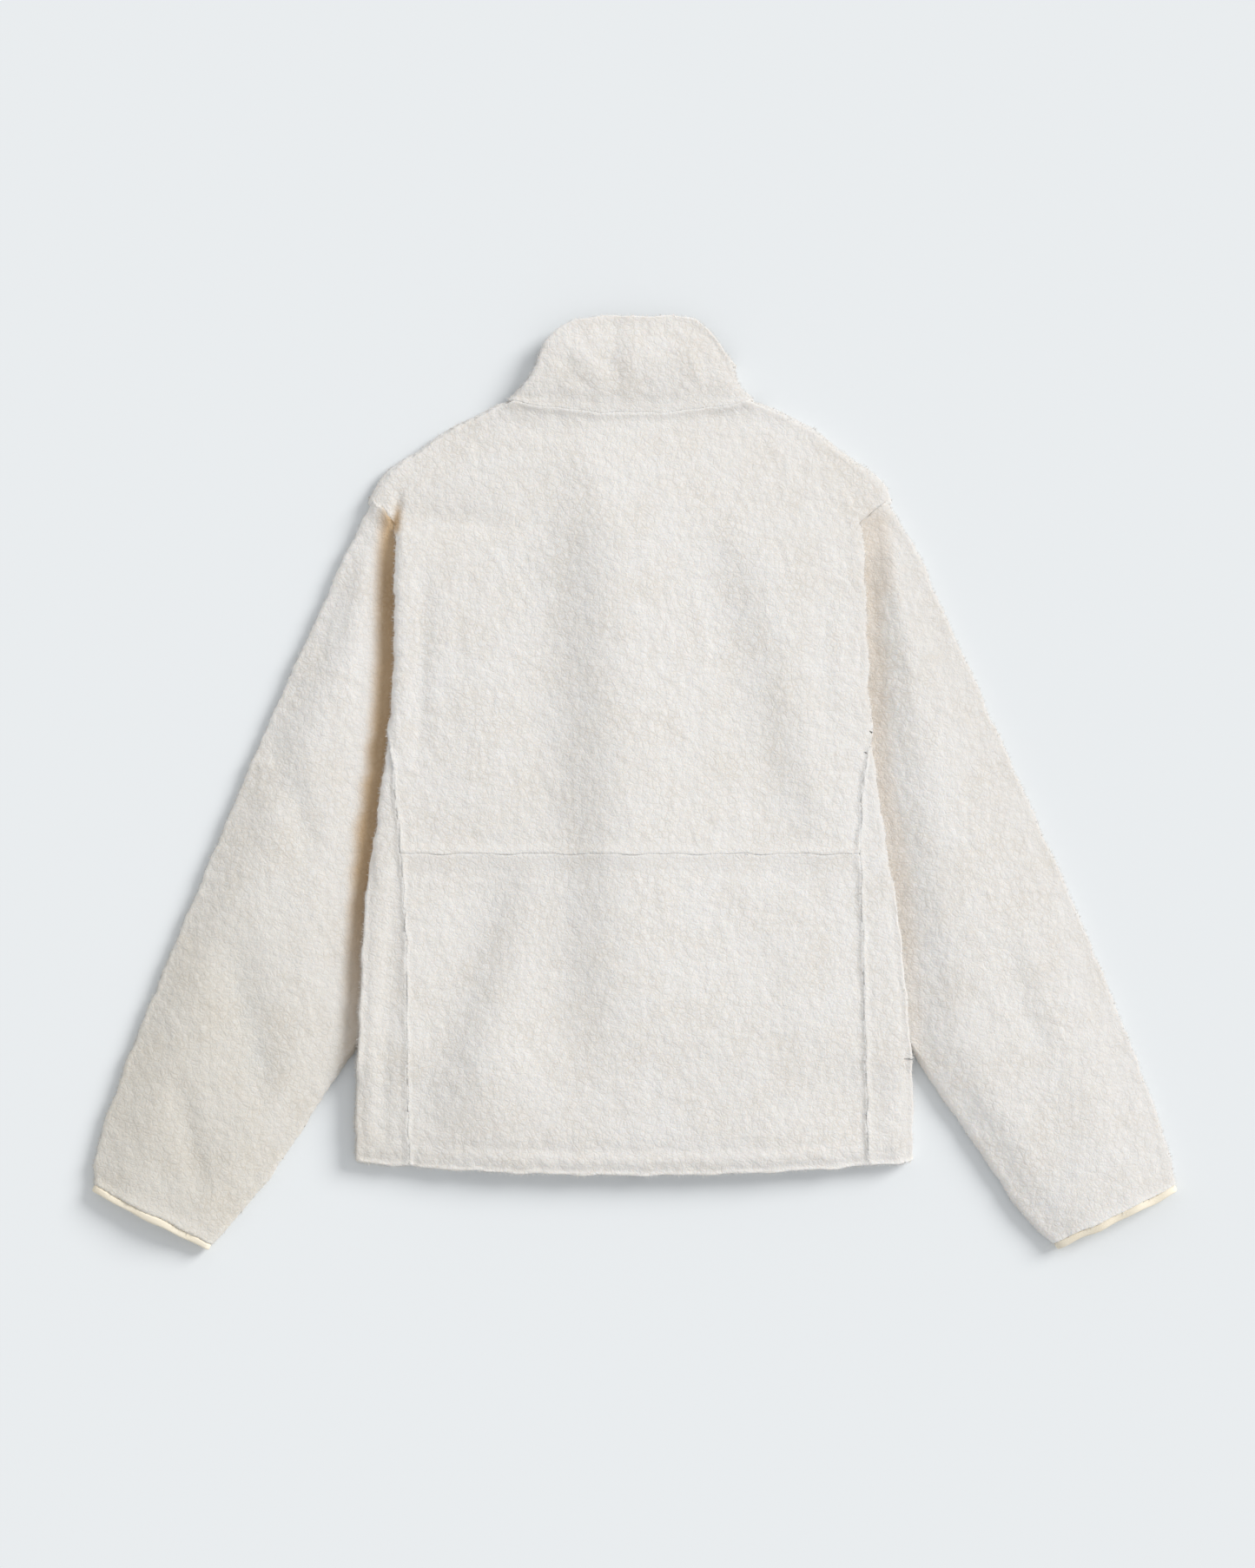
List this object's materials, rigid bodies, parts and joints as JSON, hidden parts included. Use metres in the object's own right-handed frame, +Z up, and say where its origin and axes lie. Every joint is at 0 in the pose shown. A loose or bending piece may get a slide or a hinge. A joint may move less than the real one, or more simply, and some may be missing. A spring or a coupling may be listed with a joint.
{
  "type": "pile fleece jacket laid flat",
  "caption": "Zipped pile fleece jacket with a stand collar, lying flat on its front with the back up and both sleeves tucked beside the body.",
  "frame": {"origin": "on the ground under the middle of the whole jacket", "axes": "+X to the right seen from above, with the back up; +Y towards the collar; +Z up, out of the back"},
  "size_m": [0.8876, 0.7604, 0.0323],
  "materials": {
    "pile_fleece": "cream pile fleece with a short curled nap",
    "cuff_binding": "pale cream elastic binding",
    "zip_tape": "cream woven tape with a moulded chain",
    "zip_metal": "pale satin metal"
  },
  "bodies": {
    "jacket": {"back_upper": "pile_fleece", "back_lower": "pile_fleece", "side_panel_left": "pile_fleece", "side_panel_right": "pile_fleece", "front_left": "pile_fleece", "front_right": "pile_fleece", "sleeve_left": "pile_fleece", "sleeve_right": "pile_fleece", "collar": "pile_fleece", "cuff_binding_left": "cuff_binding", "cuff_binding_right": "cuff_binding", "zip_tape_left": "zip_tape", "zip_tape_right": "zip_tape", "zip_slider": "zip_metal"},
    "pull_tab": {"zip_pull_tab": "zip_metal"}
  },
  "joints": [
    {"name": "pull_tab_hinge", "type": "hinge", "parent": "jacket", "child": "pull_tab", "pos_m": [-0.00047, 0.30019, 0.00125], "axis": [1, 0, 0], "range_deg": [0, 170]}
  ]
}
